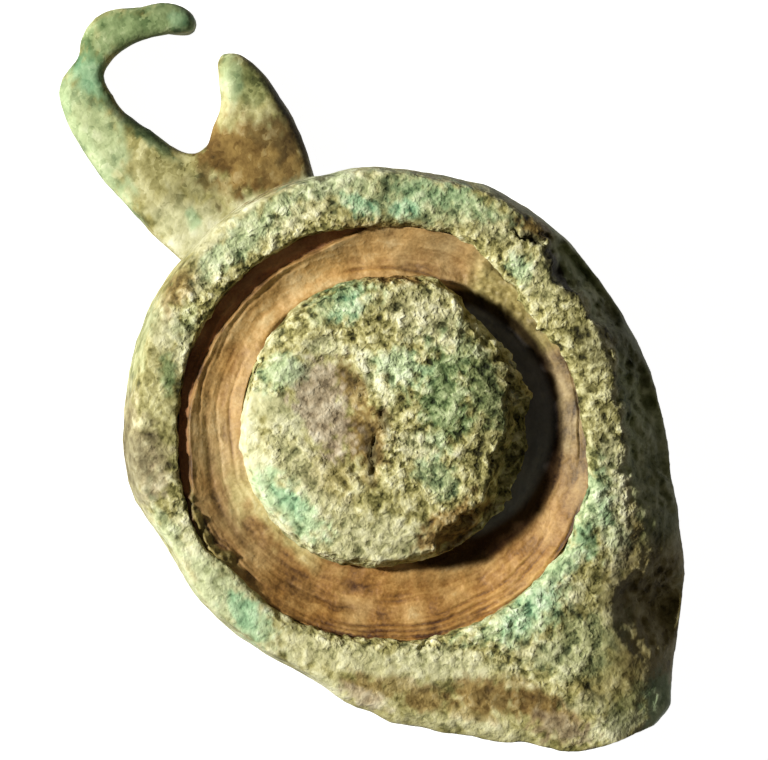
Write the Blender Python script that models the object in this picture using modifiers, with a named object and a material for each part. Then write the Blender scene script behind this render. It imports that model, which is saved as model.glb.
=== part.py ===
"""A bronze button and loop fastener with a teardrop head, a ring cell round a boss, and a broken loop.

The head is the button. A shank joins its back to a flat bar, which runs under the head and widens into
the loop. It lies face up, as it rests on a table: +Z is up out of the head's face, +Y runs from the head's
tip to the loop, and the origin is on the underside of the bar, below the centre of the ring cell.

Bearings are degrees round the head, from 0 at the tip (-Y) through 90 at +X.
"""

import math

import bmesh
import bpy

MM = 0.001

# Head in plan
BOSS_RADIUS = 6.5 * MM
CELL_WIDTH = 2.85 * MM
RIM_WIDTH = 2.95 * MM
TIP_PROJECTION = 6.0 * MM
BOSS_OFFSET_X = 0.15 * MM
BOSS_OFFSET_Y = 0.45 * MM
LIP_ROUNDING = 0.35 * MM

# Heights
BAR_THICKNESS = 2.4 * MM
STRAP_GAP = 4.6 * MM
FLOOR_THICKNESS = 2.0 * MM
CELL_DEPTH = 2.4 * MM
BOSS_PROUD = 0.6 * MM
BOSS_SHOULDER = 0.7 * MM
BOSS_HOLLOW_DEPTH = 0.4 * MM
TIP_DROOP = 0.6 * MM

# Enamel left in the ring cell
ENAMEL_CLEARANCE = 0.3 * MM
ENAMEL_THICKNESS = 0.7 * MM
ENAMEL_OUTER_RISE = 0.6 * MM
ENAMEL_INNER_RISE = 0.25 * MM

# Shank, bar and loop
SHANK_WIDTH = 4.4 * MM
SHANK_DEPTH = 3.4 * MM
SHANK_Y = -1.4 * MM
SHANK_HEAD_FLARE = 0.32
SHANK_BAR_FLARE = 0.10
BAR_SHOULDER = 0.3 * MM
LOOP_PROJECTION = 12.0 * MM
LOOP_WIDTH = 9.4 * MM
LOOP_CENTRE_X = 0.45 * MM
EDGE_ROUNDING = 0.5 * MM

# Levels and radii that follow from the sizes above
CELL_RADIUS = BOSS_RADIUS + CELL_WIDTH
ROUND_RADIUS = CELL_RADIUS + RIM_WIDTH
HEAD_THICKNESS = FLOOR_THICKNESS + CELL_DEPTH
BACK_Z = BAR_THICKNESS + STRAP_GAP
FLOOR_Z = BACK_Z + FLOOR_THICKNESS
RIM_Z = BACK_Z + HEAD_THICKNESS
BOSS_Z = RIM_Z + BOSS_PROUD
UNDERCUT = HEAD_THICKNESS / 3
WIDEST_Z = BACK_Z + UNDERCUT

# The worn outline: (bearing, share of ROUND_RADIUS), and the tip that is added to it as (bearing, share of
# TIP_PROJECTION)
WORN_ROUND = (
    (-180, 1.008), (-150, 0.998), (-130, 0.982), (-115, 0.977), (-100, 0.930), (-85, 0.932), (-50, 0.948),
    (0, 0.965), (50, 0.990), (90, 0.990), (120, 1.002), (135, 0.988), (155, 0.996),
)
TIP_SHAPE = (
    (-180, 0.0), (-60, 0.0), (-50, 0.04), (-40, 0.17), (-30, 0.295), (-20, 0.447), (-15, 0.55), (-10, 0.648),
    (-5, 0.843), (0, 0.955), (5, 1.02), (10, 1.047), (15, 0.875), (20, 0.735), (30, 0.525), (40, 0.312),
    (50, 0.17), (60, 0.10), (75, 0.02), (90, 0.0),
)
# The share of the rim that falls away as the flank, wide on the +X side of the tip and narrow elsewhere
FLANK_SHAPE = (
    (-180, 0.20), (-125, 0.40), (-95, 0.30), (-45, 0.26), (-15, 0.22), (5, 0.28), (15, 0.40), (25, 0.60),
    (45, 0.70), (60, 0.68), (85, 0.60), (100, 0.34), (115, 0.26), (145, 0.18),
)
# The boss's rounded top: (share of BOSS_RADIUS, share of BOSS_SHOULDER that it has fallen)
BOSS_DOME = ((0.0, 0.0), (0.25, 0.0), (0.50, 0.06), (0.78, 0.25), (0.95, 0.60))
# A worn hollow in the top of the boss, centred off the middle, as shares of BOSS_RADIUS
HOLLOW_X = -0.15
HOLLOW_Y = 0.33
HOLLOW_RADIUS = 0.48
# The head's edge under its widest level: (share of UNDERCUT inwards, share of UNDERCUT downwards)
UNDER_EDGE = ((0.10, 0.55), (0.45, 1.0))
# The enamel's dished top, from the boss outwards: (share of its width, share of the rise at that side)
ENAMEL_DISH_INNER = ((0.0, 1.0), (0.25, 0.2), (0.50, 0.0))
ENAMEL_DISH_OUTER = ((0.75, 0.2), (0.92, 0.65), (1.0, 1.0))
# The bar and loop seen from above, up the -X side and back down the +X side, as (share of half of
# LOOP_WIDTH, share of LOOP_PROJECTION past the round of the head). The narrow ends at 0.79 and 0.59 are
# the breaks.
LOOP_OUTLINE = (
    (-0.76, -0.094), (-0.90, 0.190), (-0.99, 0.453), (-0.96, 0.656), (-0.88, 0.828), (-0.70, 0.889),
    (-0.46, 0.919), (-0.34, 0.970), (0.02, 1.0), (0.36, 0.939), (0.64, 0.878), (0.75, 0.787),
    (0.66, 0.743), (0.40, 0.773), (0.05, 0.810), (-0.30, 0.787), (-0.40, 0.696), (-0.38, 0.595),
    (-0.22, 0.463), (-0.10, 0.342), (0.04, 0.320), (0.25, 0.372), (0.46, 0.429), (0.60, 0.524),
    (0.72, 0.589), (0.88, 0.565), (0.97, 0.484), (1.00, 0.332), (0.95, 0.149), (0.78, -0.053),
)

# Fineness of the mesh
BEARING_STEPS = 96
FLANK_STEPS = 4
SHANK_SIDES = 28
SHANK_STEPS = 9
OUTLINE_STEPS = 3
EDGE_STEPS = 1
WELD_DISTANCE = 0.001 * MM


def on_closed_curve(table, bearing):
    """The value at a bearing on a smooth closed curve through a table of (bearing, value)."""
    count = len(table)
    start = table[0][0]
    bearing = start + (bearing - start) % 360
    before = max(i for i in range(count) if table[i][0] <= bearing)
    (b0, v0), (b1, v1), (b2, v2), (b3, v3) = (
        (table[i % count][0] + 360 * (i // count), table[i % count][1])
        for i in range(before - 1, before + 3)
    )
    step = b2 - b1
    t = (bearing - b1) / step
    slope_1 = (v2 - v0) / (b2 - b0) * step
    slope_2 = (v3 - v1) / (b3 - b1) * step
    return (
        v1 * (2 * t**3 - 3 * t**2 + 1)
        + slope_1 * (t**3 - 2 * t**2 + t)
        + v2 * (3 * t**2 - 2 * t**3)
        + slope_2 * (t**3 - t**2)
    )


def outline_radius(bearing):
    """How far the head reaches from the centre of the ring cell."""
    round_part = ROUND_RADIUS * on_closed_curve(WORN_ROUND, bearing)
    return round_part + TIP_PROJECTION * max(0.0, on_closed_curve(TIP_SHAPE, bearing))


def head_section(bearing):
    """(radius, height) from the top of the boss, over the rim and flank, to the middle of the back."""
    outline = outline_radius(bearing)
    lip = CELL_RADIUS + LIP_ROUNDING
    crest = outline - (outline - lip) * on_closed_curve(FLANK_SHAPE, bearing)
    crest_z = RIM_Z - TIP_DROOP * max(0.0, on_closed_curve(TIP_SHAPE, bearing))
    section = [(across * BOSS_RADIUS, BOSS_Z - fallen * BOSS_SHOULDER) for across, fallen in BOSS_DOME]
    section += [
        (BOSS_RADIUS, BOSS_Z - BOSS_PROUD - BOSS_SHOULDER),
        (BOSS_RADIUS, FLOOR_Z),
        (CELL_RADIUS, FLOOR_Z),
        (CELL_RADIUS, RIM_Z - LIP_ROUNDING),
        (lip, RIM_Z),
        ((lip + crest) / 2, (RIM_Z + crest_z) / 2),
    ]
    for step in range(FLANK_STEPS + 1):
        t = step / FLANK_STEPS
        outward = (t + math.sin(t * math.pi / 2)) / 2
        downward = (t + 1 - math.cos(t * math.pi / 2)) / 2
        section.append((crest + (outline - crest) * outward, crest_z + (WIDEST_Z - crest_z) * downward))
    section += [(outline - inward * UNDERCUT, WIDEST_Z - down * UNDERCUT) for inward, down in UNDER_EDGE]
    return section + [(CELL_RADIUS, BACK_Z), (0.0, BACK_Z)]


def enamel_section(_bearing):
    """(radius, height) round the enamel: across its flat base, then over its dished top."""
    inner = BOSS_RADIUS + ENAMEL_CLEARANCE
    outer = CELL_RADIUS - ENAMEL_CLEARANCE
    base = FLOOR_Z + ENAMEL_CLEARANCE
    dish = base + ENAMEL_THICKNESS
    width = outer - inner
    section = [(outer, base), (inner, base)]
    section += [(inner + across * width, dish + up * ENAMEL_INNER_RISE) for across, up in ENAMEL_DISH_INNER]
    section += [(inner + across * width, dish + up * ENAMEL_OUTER_RISE) for across, up in ENAMEL_DISH_OUTER]
    return section


def hollow_depth(x, y):
    """How deep the worn hollow in the boss's top is at a point measured from the boss's centre."""
    away = math.hypot(x / BOSS_RADIUS - HOLLOW_X, y / BOSS_RADIUS - HOLLOW_Y) / HOLLOW_RADIUS
    return BOSS_HOLLOW_DEPTH * max(0.0, 1 - away**2) ** 2


def placed(bearing, radius, height):
    """The point at a bearing and radius. The boss is off centre, and the cell's width takes up the shift."""
    angle = math.radians(bearing)
    x = radius * math.sin(angle)
    y = -radius * math.cos(angle)
    if height <= BACK_Z:
        return (x, y, height)
    if radius < BOSS_RADIUS:
        height -= hollow_depth(x, y)
    shift = min(1.0, max(0.0, (CELL_RADIUS - radius) / CELL_WIDTH))
    return (x + shift * BOSS_OFFSET_X, y + shift * BOSS_OFFSET_Y, height)


def lofted_round(name, section_at, closed_section):
    """A mesh lofted through the sections at every bearing. A section that isn't closed ends on the axis."""
    mesh = bpy.data.meshes.new(name)
    shape = bmesh.new()
    rows = []
    for i in range(BEARING_STEPS):
        bearing = 360 * i / BEARING_STEPS
        row = [
            rows[0][j] if rows and radius == 0.0 else shape.verts.new(placed(bearing, radius, height))
            for j, (radius, height) in enumerate(section_at(bearing))
        ]
        rows.append(row)
    for i, row in enumerate(rows):
        following = rows[(i + 1) % BEARING_STEPS]
        spans = len(row) if closed_section else len(row) - 1
        for j in range(spans):
            k = (j + 1) % len(row)
            corners = [row[j], row[k], following[k], following[j]]
            shape.faces.new(list(dict.fromkeys(corners)))
    bmesh.ops.recalc_face_normals(shape, faces=shape.faces)
    shape.to_mesh(mesh)
    shape.free()
    return bpy.data.objects.new(name, mesh)


def shank_post(name):
    """The elliptical post from inside the bar to inside the head's floor, flared at both ends."""
    bottom = BAR_THICKNESS / 2
    top = BACK_Z + FLOOR_THICKNESS / 2
    mesh = bpy.data.meshes.new(name)
    shape = bmesh.new()
    profile = [shape.verts.new((0.0, 0.0, top))]
    for step in range(SHANK_STEPS + 1):
        side = 1 - 2 * step / SHANK_STEPS
        flare = SHANK_HEAD_FLARE if side > 0 else SHANK_BAR_FLARE
        half = 0.5 * (1 + flare * abs(side) ** 3)
        profile.append(shape.verts.new((half, 0.0, (top + bottom + side * (top - bottom)) / 2)))
    profile.append(shape.verts.new((0.0, 0.0, bottom)))
    for above, below in zip(profile, profile[1:]):
        shape.edges.new((above, below))
    shape.to_mesh(mesh)
    shape.free()
    post = bpy.data.objects.new(name, mesh)
    turn = post.modifiers.new("Turn", "SCREW")
    turn.steps = SHANK_SIDES
    turn.render_steps = SHANK_SIDES
    turn.use_merge_vertices = True
    turn.merge_threshold = WELD_DISTANCE
    post.location = (0.0, SHANK_Y, 0.0)
    post.scale = (SHANK_WIDTH, SHANK_DEPTH, 1.0)
    return post


def bar_outline():
    """The bar under the shank, as points of the outline that run from its +X side to its -X side."""
    half = SHANK_WIDTH / 2 * (1 + SHANK_BAR_FLARE) + BAR_SHOULDER
    heel = SHANK_Y - SHANK_DEPTH / 2 * (1 + SHANK_BAR_FLARE) - BAR_SHOULDER
    neck = (SHANK_Y + ROUND_RADIUS) / 2
    return [
        (half, neck),
        (half, SHANK_Y),
        (half * 0.70, heel + 0.22 * half),
        (0.0, heel),
        (-half * 0.70, heel + 0.22 * half),
        (-half, SHANK_Y),
        (-half, neck),
    ]


def loop_plate(name):
    """The bar and the broken loop, one flat outline with rounded edges, from the table up."""
    points = bar_outline() + [
        (LOOP_CENTRE_X + across * LOOP_WIDTH / 2, ROUND_RADIUS + along * LOOP_PROJECTION)
        for across, along in LOOP_OUTLINE
    ]
    curve = bpy.data.curves.new(name, "CURVE")
    curve.dimensions = "2D"
    curve.fill_mode = "BOTH"
    curve.resolution_u = OUTLINE_STEPS
    curve.bevel_depth = EDGE_ROUNDING
    curve.bevel_resolution = EDGE_STEPS
    curve.offset = -EDGE_ROUNDING
    curve.extrude = BAR_THICKNESS / 2 - EDGE_ROUNDING
    spline = curve.splines.new("BEZIER")
    spline.bezier_points.add(len(points) - 1)
    spline.use_cyclic_u = True
    for knot, (x, y) in zip(spline.bezier_points, points):
        knot.co = (x, y, 0.0)
        knot.handle_left_type = "AUTO"
        knot.handle_right_type = "AUTO"
    plate = bpy.data.objects.new(name, curve)
    plate.location = (0.0, 0.0, BAR_THICKNESS / 2)
    return plate


def as_welded_mesh(source):
    """A mesh object made from a curve or a modified object, welded and with its faces pointing out."""
    bpy.context.view_layer.update()
    graph = bpy.context.evaluated_depsgraph_get()
    mesh = bpy.data.meshes.new_from_object(source.evaluated_get(graph))
    mesh.transform(source.matrix_world)
    shape = bmesh.new()
    shape.from_mesh(mesh)
    bmesh.ops.remove_doubles(shape, verts=shape.verts, dist=WELD_DISTANCE)
    bmesh.ops.recalc_face_normals(shape, faces=shape.faces)
    shape.to_mesh(mesh)
    shape.free()
    name = source.name
    bpy.data.objects.remove(source)
    return bpy.data.objects.new(name, mesh)


def principled(name, colour, roughness, metallic):
    """A plain material with the piece's own colour."""
    material = bpy.data.materials.new(name)
    material.use_nodes = True
    shader = material.node_tree.nodes["Principled BSDF"]
    shader.inputs["Base Color"].default_value = (*colour, 1.0)
    shader.inputs["Roughness"].default_value = roughness
    shader.inputs["Metallic"].default_value = metallic
    return material


def collection_named(name):
    """A new collection in the scene."""
    made = bpy.data.collections.new(name)
    bpy.context.scene.collection.children.link(made)
    return made


def main():
    """Clears the scene and builds the casting and the enamel."""
    for old in list(bpy.data.objects):
        bpy.data.objects.remove(old)
    parts = collection_named("Button and loop fastener")
    joined = collection_named("Shapes joined into the casting")

    casting = lofted_round("cast_fastener", head_section, closed_section=False)
    parts.objects.link(casting)
    for make, name in ((shank_post, "shank_shape"), (loop_plate, "loop_shape")):
        source = make(name)
        joined.objects.link(source)
        shape = as_welded_mesh(source)
        joined.objects.link(shape)
        shape.name = name
        shape.hide_render = True
        shape.display_type = "WIRE"
        union = casting.modifiers.new("Join " + name, "BOOLEAN")
        union.operation = "UNION"
        union.object = shape
    casting.data.materials.append(principled("Corroded bronze", (0.42, 0.41, 0.25), 0.85, 0.1))

    enamel = lofted_round("enamel_ring", enamel_section, closed_section=True)
    parts.objects.link(enamel)
    enamel.data.materials.append(principled("Decayed enamel", (0.45, 0.26, 0.10), 0.5, 0.0))

    for piece in (casting, enamel):
        piece.data.shade_smooth()
        piece.data.set_sharp_from_angle(angle=math.radians(40))


main()
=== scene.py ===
"""Looks of the button and loop fastener: a corroded bronze casting with decayed enamel in its ring cell.

Sizes are in millimetres and the frame's own axes unless a name says otherwise: +Z is up out of the head's
face, +Y runs from the head's tip to the loop, and x = y = 0 is the centre of the ring cell. Marks on the
surface are placed by their pixels in the photograph. An angle round the ring or the boss is measured as the
photograph shows it, anticlockwise from straight right: 0 right, 90 top, 180 left, 270 bottom.
"""

from __future__ import annotations

import logging
import math
from dataclasses import dataclass, field
from enum import Enum

import bmesh
import bpy
import numpy as np
from mathutils import Euler, Matrix, Vector, noise

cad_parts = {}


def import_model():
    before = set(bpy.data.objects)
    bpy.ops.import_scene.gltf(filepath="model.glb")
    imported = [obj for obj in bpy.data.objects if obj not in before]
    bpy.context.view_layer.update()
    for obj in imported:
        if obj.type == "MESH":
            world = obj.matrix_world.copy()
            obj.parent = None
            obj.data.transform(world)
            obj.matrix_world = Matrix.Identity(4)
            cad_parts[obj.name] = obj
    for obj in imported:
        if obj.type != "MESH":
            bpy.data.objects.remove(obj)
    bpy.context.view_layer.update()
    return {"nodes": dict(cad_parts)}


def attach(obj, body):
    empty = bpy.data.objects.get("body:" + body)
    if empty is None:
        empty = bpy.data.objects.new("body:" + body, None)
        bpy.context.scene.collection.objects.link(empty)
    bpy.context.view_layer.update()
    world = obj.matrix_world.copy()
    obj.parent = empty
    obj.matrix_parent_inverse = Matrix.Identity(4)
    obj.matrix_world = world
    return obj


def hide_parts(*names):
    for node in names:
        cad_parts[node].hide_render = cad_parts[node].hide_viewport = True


LOG = logging.getLogger("fastener")
MM = 0.001
PHOTO_WIDTH_PX = 768
PHOTO_HEIGHT_PX = 760

Table = tuple[tuple[float, float], ...]
Stops = tuple[tuple[float, str], ...]
Inputs = dict[str | int, object]


class Tone(Enum):
    """The colours that lie over the plain crust, each a mesh attribute of that name: corrosion colours, with
    painted light in some cream and mint patches and painted shade in many dark ones.
    """

    # Cream salts, and painted light on lit sides and on the shaded tip and flank
    CREAM = "cream"
    BROWN = "brown"
    MAUVE = "mauve"
    OLIVE = "olive"
    GREEN = "green"
    # Mint salts, and in two patches painted light on the shaded tip and edge
    MINT = "mint"
    VERDIGRIS = "verdigris"
    # Dark olive patina, and painted shade on the flank, in crevices and on shaded edges
    DARK = "dark"


class Stain(Enum):
    """What colours the enamel over its own grey, each a mesh attribute of that name. The last two are
    painted shade: the boss's shadow with its grey core, and the shade in the gap at the left.
    """

    WARM = "warm"
    SOIL = "soil"
    RUST = "rust"
    SHADE = "shade"
    # Painted shadow: a grey that stands for the core of the boss's shadow
    SOOT = "soot"


@dataclass(frozen=True)
class PhotoView:
    """The photograph's camera: straight above the head, turned so that the loop is at the upper left.

    The centre of the picture looks down on axis_x, axis_y. The lens makes pixels_per_mm at the head's face.
    """

    axis_x: float = 1.36
    axis_y: float = 2.02
    turn_degrees: float = -35.1
    face: float = 11.4
    height_over_face: float = 130.0
    pixels_per_mm: float = 22.2
    sensor_mm: float = 36.0

    def to_view(self, x: np.ndarray, y: np.ndarray) -> tuple[np.ndarray, np.ndarray]:
        """Turns the object's x and y to right and up in the photograph."""
        turn = math.radians(self.turn_degrees)
        return x * math.cos(turn) + y * math.sin(turn), y * math.cos(turn) - x * math.sin(turn)

    def to_object(self, right: np.ndarray, up: np.ndarray) -> tuple[np.ndarray, np.ndarray]:
        """Turns right and up in the photograph to the object's x and y."""
        turn = math.radians(self.turn_degrees)
        return right * math.cos(turn) - up * math.sin(turn), right * math.sin(turn) + up * math.cos(turn)

    def to_photo(self, points: np.ndarray) -> np.ndarray:
        """Where points of the object lie in the photograph.

        Args:
            points: rows of x, y, z.

        Returns:
            Rows of pixels across and down.
        """
        below_camera = self.face + self.height_over_face - points[:, 2]
        scale = self.pixels_per_mm * self.height_over_face / below_camera
        right, up = self.to_view(points[:, 0] - self.axis_x, points[:, 1] - self.axis_y)
        return np.stack([PHOTO_WIDTH_PX / 2 + right * scale, PHOTO_HEIGHT_PX / 2 - up * scale], axis=1)

    def angle(self, x: np.ndarray, y: np.ndarray) -> np.ndarray:
        """The direction of x, y as the photograph shows it, in degrees anticlockwise from straight right."""
        right, up = self.to_view(x, y)
        return np.degrees(np.arctan2(up, right)) % 360

    def make_camera(self) -> None:
        """Adds the camera and makes it the scene's."""
        data = bpy.data.cameras.new("camera")
        data.sensor_width = self.sensor_mm
        data.lens = self.pixels_per_mm * self.height_over_face * self.sensor_mm / PHOTO_WIDTH_PX
        data.clip_start = 0.01
        camera = new_object("camera", data)
        camera.location = Vector((self.axis_x, self.axis_y, self.face + self.height_over_face)) * MM
        camera.rotation_euler = Euler((0.0, 0.0, math.radians(self.turn_degrees)))
        bpy.context.scene.camera = camera


VIEW = PhotoView()


def new_object(name: str, data: bpy.types.ID) -> bpy.types.Object:
    """Adds an object to the scene.

    Args:
        name: its name.
        data: its mesh, light or camera.

    Returns:
        The object.
    """
    item = bpy.data.objects.new(name, data)
    bpy.context.scene.collection.objects.link(item)
    return item


def linear(hex_colour: str) -> tuple[float, float, float, float]:
    """Turns an sRGB hex colour to linear red, green, blue and alpha.

    Args:
        hex_colour: six hex digits after a hash sign.

    Returns:
        The linear colour, fully opaque.
    """
    parts = [int(hex_colour[i : i + 2], 16) / 255 for i in (1, 3, 5)]
    red, green, blue = (c / 12.92 if c <= 0.04045 else ((c + 0.055) / 1.055) ** 2.4 for c in parts)
    return (red, green, blue, 1.0)


def feed(tree: bpy.types.NodeTree, node: bpy.types.Node, inputs: Inputs) -> None:
    """Links or sets some of a node's inputs.

    Args:
        tree: the node's tree.
        node: the node.
        inputs: for an input's name or number, its value, the output socket that feeds it, or a node whose
            first output feeds it.
    """
    for name, value in inputs.items():
        if isinstance(value, bpy.types.Node):
            value = value.outputs[0]
        if isinstance(value, bpy.types.NodeSocket):
            tree.links.new(value, node.inputs[name])
        else:
            node.inputs[name].default_value = value


def add_node(
    tree: bpy.types.NodeTree, kind: str, inputs: Inputs | None = None, **settings: object
) -> bpy.types.Node:
    """Adds a shader node with its settings, values and links.

    Args:
        tree: the node tree to add to.
        kind: the node's type after "ShaderNode".
        inputs: what its inputs take, as feed has them.
        settings: values of the node's own properties.

    Returns:
        The node.
    """
    node = tree.nodes.new("ShaderNode" + kind)
    for name, value in settings.items():
        setattr(node, name, value)
    feed(tree, node, inputs or {})
    return node


def set_ramp(node: bpy.types.Node, stops: Stops) -> bpy.types.Node:
    """Gives a colour ramp its stops.

    Args:
        node: the Color Ramp node.
        stops: (position, sRGB hex colour) from low to high.

    Returns:
        The same node.
    """
    elements = node.color_ramp.elements
    while len(elements) > 1:
        elements.remove(elements[-1])
    elements[0].position = stops[0][0]
    elements[0].color = linear(stops[0][1])
    for position, colour in stops[1:]:
        elements.new(position).color = linear(colour)
    return node


def start_material(name: str) -> tuple[bpy.types.Material, bpy.types.NodeTree, bpy.types.Node]:
    """Starts a material.

    Args:
        name: the material's name.

    Returns:
        The material, its node tree, and a node that gives the place on the object in millimetres.
    """
    material = bpy.data.materials.new(name)
    material.use_nodes = True
    tree = material.node_tree
    place = add_node(tree, "TexCoord").outputs["Object"]
    return material, tree, add_node(tree, "VectorMath", {0: place, "Scale": 1 / MM}, operation="SCALE")


def lay_tones(
    tree: bpy.types.NodeTree, ground: Stops, layers: tuple[tuple[Enum, Stops], ...], fleck: bpy.types.Node
) -> bpy.types.NodeSocket:
    """Lays colours over a ground colour, each as far as the mesh attribute of its name says.

    Args:
        tree: the material's node tree.
        ground: the ground's colours, from dark flecks to light ones.
        layers: each layer's name and colours. Later ones lie over earlier ones.
        fleck: how light the fleck is at each place.

    Returns:
        The colour.
    """
    colour = set_ramp(add_node(tree, "ValToRGB", {"Fac": fleck}), ground).outputs[0]
    for layer, stops in layers:
        share = add_node(tree, "Attribute", attribute_name=layer.value).outputs["Fac"]
        over = set_ramp(add_node(tree, "ValToRGB", {"Fac": fleck}), stops)
        colour = add_node(tree, "Mix", {"Factor": share, 6: colour, 7: over}, data_type="RGBA").outputs[2]
    return colour


def smooth_step(low: float | np.ndarray, high: float | np.ndarray, value: np.ndarray) -> np.ndarray:
    """Rises smoothly from 0 where value is low to 1 where it is high. Low may be the larger of the two."""
    share = np.clip((value - low) / (high - low), 0.0, 1.0)
    return share * share * (3 - 2 * share)


def window(start: float, full: float, fading: float, end: float, value: np.ndarray) -> np.ndarray:
    """Rises smoothly from 0 at start to 1 at full, and falls from 1 at fading to 0 at end."""
    return smooth_step(start, full, value) * smooth_step(end, fading, value)


def read_table(table: Table, value: np.ndarray, turn: float | None = None) -> np.ndarray:
    """Reads a table of (place, value), which repeats after a turn where one is given."""
    return np.interp(value, [place for place, _ in table], [amount for _, amount in table], period=turn)


def around(table: Table, angle: np.ndarray) -> np.ndarray:
    """Reads a table of (angle, value) round a full turn."""
    return read_table(table, angle, 360)


# How far apart in the noise two neighbouring seeds lie, how fast its finer layers get weaker, and how many
# times finer each is than the last
SEED_STEP = (17.31, -9.17, 5.73)
LAYER_FALL = 1.0
LAYER_STEP = 2.0


@dataclass(frozen=True)
class Noise:
    """A kind of unevenness, as fractal noise.

    Args:
        grain: the size of its largest features.
        octaves: how many finer layers there are.
        seed: picks another stretch of the same noise.
        height: how strong it is. At 1 its values are mostly between -0.5 and 0.5.
    """

    grain: float
    octaves: int
    seed: int
    height: float = 1.0

    def at(self, points: np.ndarray) -> np.ndarray:
        """Samples the noise.

        Args:
            points: one row of x, y, z for each point.

        Returns:
            One value for each point.
        """
        shift = Vector([self.seed * step for step in SEED_STEP])
        places = (Vector(row) + shift for row in points / self.grain)
        values = [noise.fractal(place, LAYER_FALL, LAYER_STEP, self.octaves) for place in places]
        return self.height * np.array(values)


def line_distance(spots: np.ndarray, line: Table) -> np.ndarray:
    """How far spots are from the nearest stretch of a line.

    Args:
        spots: rows of two coordinates.
        line: the line's points.

    Returns:
        One distance for each spot, in the spots' own unit.
    """
    best = np.full(len(spots), np.inf)
    for start, end in zip(line, line[1:]):
        origin, span = np.array(start), np.array(end) - np.array(start)
        share = np.clip((spots - origin) @ span / (span @ span), 0.0, 1.0)
        best = np.minimum(best, np.linalg.norm(spots - origin - share[:, None] * span, axis=1))
    return best


def beyond(spots: np.ndarray, corners: Table) -> np.ndarray:
    """How far spots are outside a polygon.

    Args:
        spots: rows of two coordinates.
        corners: the polygon's corners in order.

    Returns:
        One distance for each spot, negative inside the polygon.
    """
    closed = corners + corners[:1]
    inside = np.zeros(len(spots), bool)
    x, y = spots.T
    for (x0, y0), (x1, y1) in zip(closed, closed[1:]):
        crosses = (y0 > y) != (y1 > y)
        inside ^= crosses & (x < (x1 - x0) * (y - y0) / (y1 - y0 if y1 != y0 else 1.0) + x0)
    away = line_distance(spots, closed)
    return np.where(inside, -away, away)


def read_rows(mesh: bpy.types.Mesh, name: str) -> np.ndarray:
    """Reads a vector of each vertex.

    Args:
        mesh: the mesh.
        name: "co" for the vertices' places or "normal" for their normals.

    Returns:
        Rows of x, y, z.
    """
    flat = np.empty(len(mesh.vertices) * 3)
    mesh.vertices.foreach_get(name, flat)
    return flat.reshape(-1, 3)


def write_points(mesh: bpy.types.Mesh, points: np.ndarray) -> None:
    """Moves a mesh's vertices to the given rows of x, y, z."""
    mesh.vertices.foreach_set("co", points.ravel())
    mesh.update()


def write_attribute(mesh: bpy.types.Mesh, name: str, values: np.ndarray) -> None:
    """Stores one number for each vertex under a name that the materials read."""
    attribute = mesh.attributes.new(name, "FLOAT", "POINT")
    attribute.data.foreach_set("value", np.clip(values, 0.0, 1.0).astype(np.float32))


def add_piece(
    mesh: bpy.types.Mesh, material: bpy.types.Material, node_name: str
) -> bpy.types.Object:
    """Puts a finished mesh in the scene in place of a node of the frame.

    Args:
        mesh: the mesh, in metres.
        material: its finish.
        node_name: the node that it replaces.

    Returns:
        The piece.
    """
    mesh.shade_smooth()
    mesh.materials.append(material)
    piece = new_object(mesh.name, mesh)
    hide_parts(node_name)
    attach(piece, "root")
    return piece


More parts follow.
